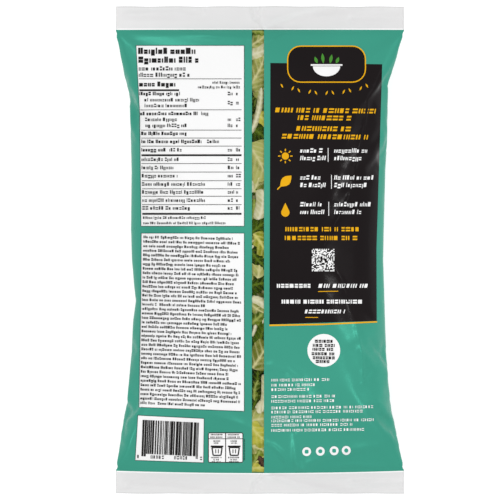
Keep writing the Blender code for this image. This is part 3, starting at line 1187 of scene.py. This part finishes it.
def leaf_pieces():
    """Every leaf that shows through the clear film, as one object for each kind."""
    rng = np.random.default_rng(SEED + 1)
    kinds = {name: Leaves(name) for name in LEAF_KINDS}
    for kind, x, y, length, width, turn, depth in WINDOW_LEAVES:
        kinds[kind].add(x, y, length, width, turn, depth * DEPTH_SPREAD, rng)
    for number in range(LEAVES_BENEATH):
        y = BENEATH_REACH - 2 * BENEATH_REACH * number / (LEAVES_BENEATH - 1)
        kinds[FILLER[number % len(FILLER)]].add(
            rng.uniform(-4, 2), y, rng.uniform(16, 24), rng.uniform(10, 15),
            rng.uniform(-90, 90), rng.uniform(3.4, 5.0), rng,
        )
    for number in range(FRONT_LEAVES):
        kinds[FILLER[number % len(FILLER)]].add(
            rng.uniform(-38, 38), rng.uniform(-90, -34), rng.uniform(18, 34), rng.uniform(12, 20),
            rng.uniform(-90, 90), rng.uniform(0.4, 3.2), rng, is_back=False,
        )
    return [leaves.build() for leaves in kinds.values()]


def leaf_bed():
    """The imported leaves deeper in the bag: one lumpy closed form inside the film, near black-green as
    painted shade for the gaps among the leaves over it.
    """
    end_rows, least_share, narrowing, lump = 6, 0.35, 0.955, 0.0007
    ends = end_rows * ROW_FINENESS
    rows = np.arange(ends, FILM.shape[0] - ends, BED_STEP * ROW_FINENESS)
    back = FILM[rows][:, : BACK_COLUMNS + 1 : BED_STEP * BACK_FINENESS]
    front = FILM[rows][:, np.r_[BACK_COLUMNS : FILM.shape[1] : BED_STEP, 0]][:, ::-1]
    middle = (back + front) / 2
    reach = (back - front)[..., 2:3] / 2
    kept = np.maximum(reach - LEAF_BED_DEPTH, least_share * reach)
    rise = np.zeros_like(middle)
    rise[..., 2:3] = kept
    middle[..., 0] *= narrowing
    lumps = np.random.default_rng(SEED + 2).normal(0, lump, kept.shape)
    ring = np.concatenate([middle + rise + lumps, (middle - rise + lumps)[:, -2:0:-1]], axis=1)
    count, around = ring.shape[:2]
    faces = sleeve_faces(count, around)
    faces.append(list(range(around))[::-1])
    faces.append(list(range((count - 1) * around, count * around)))
    return new_piece("leaf_bed", ring, faces)


def new_material(name, colour, roughness, gloss=0.5, alpha=1.0, sheen=0.0):
    """A material, its nodes and its shader, with the shader's plain values set."""
    made = bpy.data.materials.new(name)
    made.use_nodes = True
    shader = made.node_tree.nodes["Principled BSDF"]
    shader.inputs["Base Color"].default_value = (*colour, 1.0)
    shader.inputs["Roughness"].default_value = roughness
    shader.inputs["Specular IOR Level"].default_value = gloss
    shader.inputs["Alpha"].default_value = alpha
    shader.inputs["Metallic"].default_value = sheen
    return made, made.node_tree, shader


def add_node(tree, kind, **inputs):
    """A shader node, each input joined to another node's output or set to a value."""
    node = tree.nodes.new("ShaderNode" + kind)
    for name, value in inputs.items():
        if isinstance(value, bpy.types.NodeSocket):
            tree.links.new(value, node.inputs[name])
        else:
            node.inputs[name].default_value = value
    return node


def own_place(tree):
    """The object's own coordinates."""
    return add_node(tree, "TexCoord").outputs["Object"]


def noise(tree, scale, detail=2.0):
    """Noise in the object's own coordinates."""
    made = add_node(tree, "TexNoise", Vector=own_place(tree), Scale=scale, Detail=detail)
    return made.outputs["Fac"]


def attribute_value(tree, name):
    """A number kept on the mesh."""
    node = add_node(tree, "Attribute")
    node.attribute_name = name
    return node.outputs["Fac"]


def blend_colours(tree, factor, first, second, low=0.3, high=0.7):
    """A colour that goes from first to second as the factor goes from low to high."""
    ramp = add_node(tree, "ValToRGB", Fac=factor)
    ends = zip(ramp.color_ramp.elements, (low, high), (first, second))
    for element, position, colour in ends:
        element.position = position
        element.color = (*colour, 1.0)
    return ramp.outputs["Color"]


def uneven_colour(tree, shader, colour, dark, pale, scale):
    """Colours a shader in soft patches, between two multiples of a colour."""
    darker = tuple(part * dark for part in colour)
    paler = tuple(min(1.0, part * pale) for part in colour)
    patches = blend_colours(tree, noise(tree, scale), darker, paler)
    tree.links.new(patches, shader.inputs["Base Color"])


def add_bump(tree, shader, height, depth):
    """Fine relief, in metres."""
    bump = add_node(tree, "Bump", Strength=1.0, Distance=depth, Height=height)
    tree.links.new(bump.outputs["Normal"], shader.inputs["Normal"])


def add_scaled(tree, value, scale, base):
    """A value times a scale, added to a base value."""
    add = add_node(tree, "Math")
    add.operation = "MULTIPLY_ADD"
    add.inputs[1].default_value = scale
    tree.links.new(value, add.inputs[0])
    tree.links.new(base, add.inputs[2])
    return add.outputs[0]


def film_material(name, colour, spread, roughness, gloss=0.3, sheen=0.0, soft=0.00006):
    """Printed film: its ink, a little uneven and with or without a sheen of its own colour."""
    made, tree, shader = new_material(name, colour, roughness, gloss, sheen=sheen)
    uneven_colour(tree, shader, colour, 1 - spread, 1 + spread, 14)
    add_bump(tree, shader, noise(tree, 260, 3.0), soft)
    return made


def clear_material():
    """Clear film, with a faint milky cast."""
    made, tree, shader = new_material("clear_film", (0.90, 0.91, 0.88), 0.10, 0.03, 0.003)
    add_bump(tree, shader, noise(tree, 120), 0.00008)
    return made


def seal_material():
    """Two layers of clear film pressed together: milky, with faint lines along the seal."""
    made, tree, shader = new_material("sealed_film", (0.77, 0.77, 0.77), 0.30, alpha=0.66)
    tone = add_scaled(tree, noise(tree, 22, 3.0), 0.08, attribute_value(tree, "tone"))
    grey = blend_colours(tree, tone, (0.04, 0.035, 0.037), (1.0, 0.99, 0.995), 0.0, 1.0)
    tree.links.new(grey, shader.inputs["Base Color"])
    lines = add_node(tree, "TexWave", Vector=own_place(tree), Scale=90, Distortion=0.6)
    lines.bands_direction = "Y"
    add_bump(tree, shader, lines.outputs["Fac"], 0.00003)
    return made


def ink_material(name, colour):
    """Ink on film, slightly uneven."""
    made, tree, shader = new_material(name, colour, 0.40, 0.08)
    uneven_colour(tree, shader, colour, 0.93, 1.05, 60)
    return made


def leaf_material(name, darker, paler, vein_colour):
    """A leaf: two tones in patches, different from leaf to leaf and darker for deeper leaves as painted
    shade, with paler veins.
    """
    made, tree, shader = new_material(name, paler, 0.42, 0.02)
    tone = add_scaled(tree, attribute_value(tree, "tone"), 0.16, noise(tree, 130, 3.0))
    mix = add_node(tree, "Mix")
    mix.data_type = "RGBA"
    mix.inputs["B"].default_value = (*vein_colour, 1.0)
    tree.links.new(attribute_value(tree, "vein"), mix.inputs["Factor"])
    tree.links.new(blend_colours(tree, tone, darker, paler, 0.34, 0.62), mix.inputs["A"])
    tree.links.new(mix.outputs["Result"], shader.inputs["Base Color"])
    cells = add_node(tree, "TexVoronoi", Vector=own_place(tree), Scale=700)
    add_bump(tree, shader, cells.outputs["Distance"], 0.00012)
    return made


# Each kind of leaf: its darker tone, which deeper leaves are pushed towards as painted shade, its paler
# tone and its veins.
LEAF_COLOURS = {
    "cabbage": ((0.112, 0.130, 0.018), (0.335, 0.345, 0.104), (0.51, 0.49, 0.24)),
    "white_rib": ((0.36, 0.36, 0.17), (0.55, 0.53, 0.33), (0.60, 0.58, 0.41)),
    "dark_leaf": ((0.008, 0.016, 0.001), (0.034, 0.064, 0.003), (0.09, 0.14, 0.012)),
    "green_leaf": ((0.034, 0.062, 0.003), (0.130, 0.180, 0.014), (0.28, 0.33, 0.08)),
    "yellow_leaf": ((0.18, 0.20, 0.014), (0.41, 0.39, 0.054), (0.54, 0.51, 0.16)),
    "purple_leaf": ((0.012, 0.006, 0.005), (0.045, 0.023, 0.019), (0.08, 0.045, 0.025)),
}


def finish_piece(piece, material, replaces=True):
    """Gives a piece its material and slot, and lets it ride on the bag."""
    piece.data.materials.clear()
    piece.data.materials.append(material)
    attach(piece, "root")
    if replaces:
        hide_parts("salad_bag")


def dress():
    """Makes every piece of film and print, and gives each its finish."""
    film = film_pieces()
    fields = {
        "teal": ((0.048, 0.308, 0.223), 0.05, 0.26, 0.03, 0.14),
        "white": ((0.84, 0.84, 0.84), 0.015, 0.40),
        "dark": ((0.0108, 0.0083, 0.0089), 0.12, 0.18, 0.06),
    }
    for kind, look in fields.items():
        finish_piece(film[kind], film_material(kind + "_film", *look))
    finish_piece(film["clear"], clear_material())
    seal = seal_material()
    finish_piece(seal_band("seal_top", TOP_LINE, HIGH.y, 0.6), seal)
    finish_piece(seal_band("seal_bottom", BOTTOM_LINE, LOW.y, 2.4), seal)
    for leaves in leaf_pieces():
        finish_piece(leaves, leaf_material(leaves.name, *LEAF_COLOURS[leaves.name]))
    # The leaf bed's near-black green is painted shade: it stands for the dark gaps deep among the leaves.
    deep_leaf_shade = film_material("packed_leaves", (0.010, 0.016, 0.003), 0.5, 0.6, 0.1, 0.0, 0.0004)
    finish_piece(leaf_bed(), deep_leaf_shade)
    for ink, colour in all_inks():
        finish_piece(ink, ink_material(ink.name, colour), replaces=False)


def place_light(name, place, size, power):
    """A square lamp that points at the bag."""
    lamp = bpy.data.lights.new(name, "AREA")
    lamp.energy = power
    lamp.size = size
    light = new_object(name, lamp)
    light.location = place
    light.rotation_euler = (-Vector(place)).to_track_quat("-Z", "Y").to_euler()


def studio():
    """Floor, lights and camera."""
    floor = square_plane("floor", 8.0, 0)
    paper, _, shader = new_material("floor_paper", (0.50, 0.50, 0.50), 0.9, 0.05)
    shader.inputs["Emission Color"].default_value = (1, 1, 1, 1)
    shader.inputs["Emission Strength"].default_value = 0.68
    floor.data.materials.append(paper)
    place_light("key_light", (-0.75, 0.35, 2.6), 1.0, 11)
    place_light("right_light", (1.9, 0.6, 2.0), 1.6, 8)
    place_light("right_glint_light", (1.45, 0.25, 2.5), 0.35, 8)
    place_light("near_glint_light", (-1.18, -1.91, 1.83), 0.6, 10)
    place_light("foot_glint_light", (0.75, -1.34, 2.46), 0.4, 6)
    place_light("far_glint_light", (-0.70, 1.90, 2.1), 0.6, 8)
    world = bpy.data.worlds.new("studio")
    world.use_nodes = True
    backdrop = world.node_tree.nodes["Background"]
    backdrop.inputs["Color"].default_value = (1, 1, 1, 1)
    backdrop.inputs["Strength"].default_value = 0.66
    bpy.context.scene.world = world
    camera = bpy.data.cameras.new("camera")
    camera.sensor_width = 36
    camera.lens = camera.sensor_width * CAMERA_HEIGHT / VIEW_WIDTH
    camera.clip_end = 50
    shot = new_object("camera", camera)
    shot.location = EYE
    bpy.context.scene.camera = shot
    bpy.context.scene.view_settings.view_transform = "Standard"


dress()
studio()
